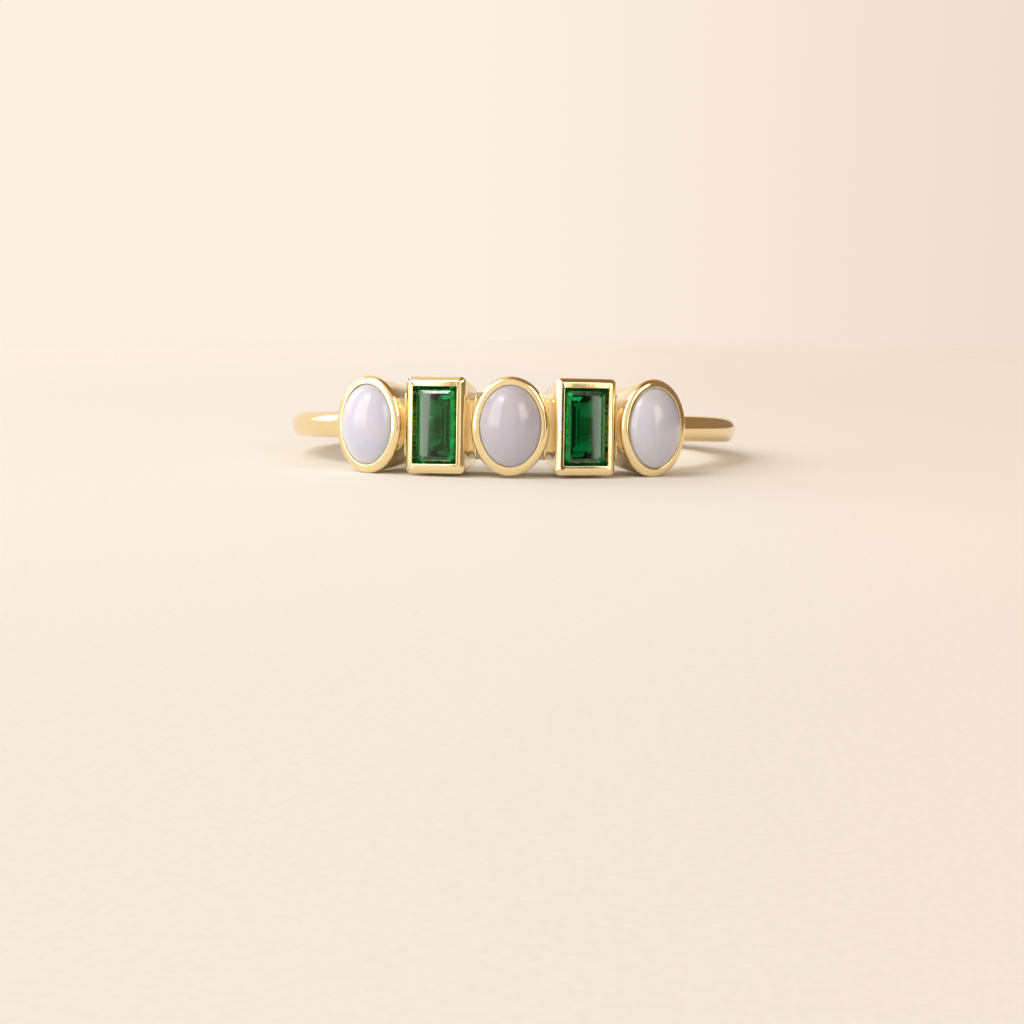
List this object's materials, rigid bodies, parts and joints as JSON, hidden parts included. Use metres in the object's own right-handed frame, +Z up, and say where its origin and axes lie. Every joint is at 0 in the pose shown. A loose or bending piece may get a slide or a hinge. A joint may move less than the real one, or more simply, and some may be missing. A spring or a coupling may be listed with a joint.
{
  "type": "stackable ring",
  "caption": "Slim gold stacking ring with oval moonstone cabochons and step-cut emeralds set in turn in closed bezels across its front, lying on its side.",
  "frame": {"origin": "centre of the bounding box's bottom face, on the surface that the ring lies on", "axes": "+Z up, away from that surface; -Y towards the stones; +X to the right of someone who looks at the stones. The finger hole's own axis leans about 4 degrees from +Z, because the ring lies on its side bezels in front and on its shank behind"},
  "size_m": [0.02, 0.0222, 0.004],
  "materials": {
    "yellow_gold": "polished",
    "moonstone": "polished",
    "emerald": "polished"
  },
  "bodies": {
    "root": {"ring_metal": "yellow_gold", "moonstone_left": "moonstone", "moonstone_centre": "moonstone", "moonstone_right": "moonstone", "emerald_left": "emerald", "emerald_right": "emerald"}
  },
  "joints": []
}
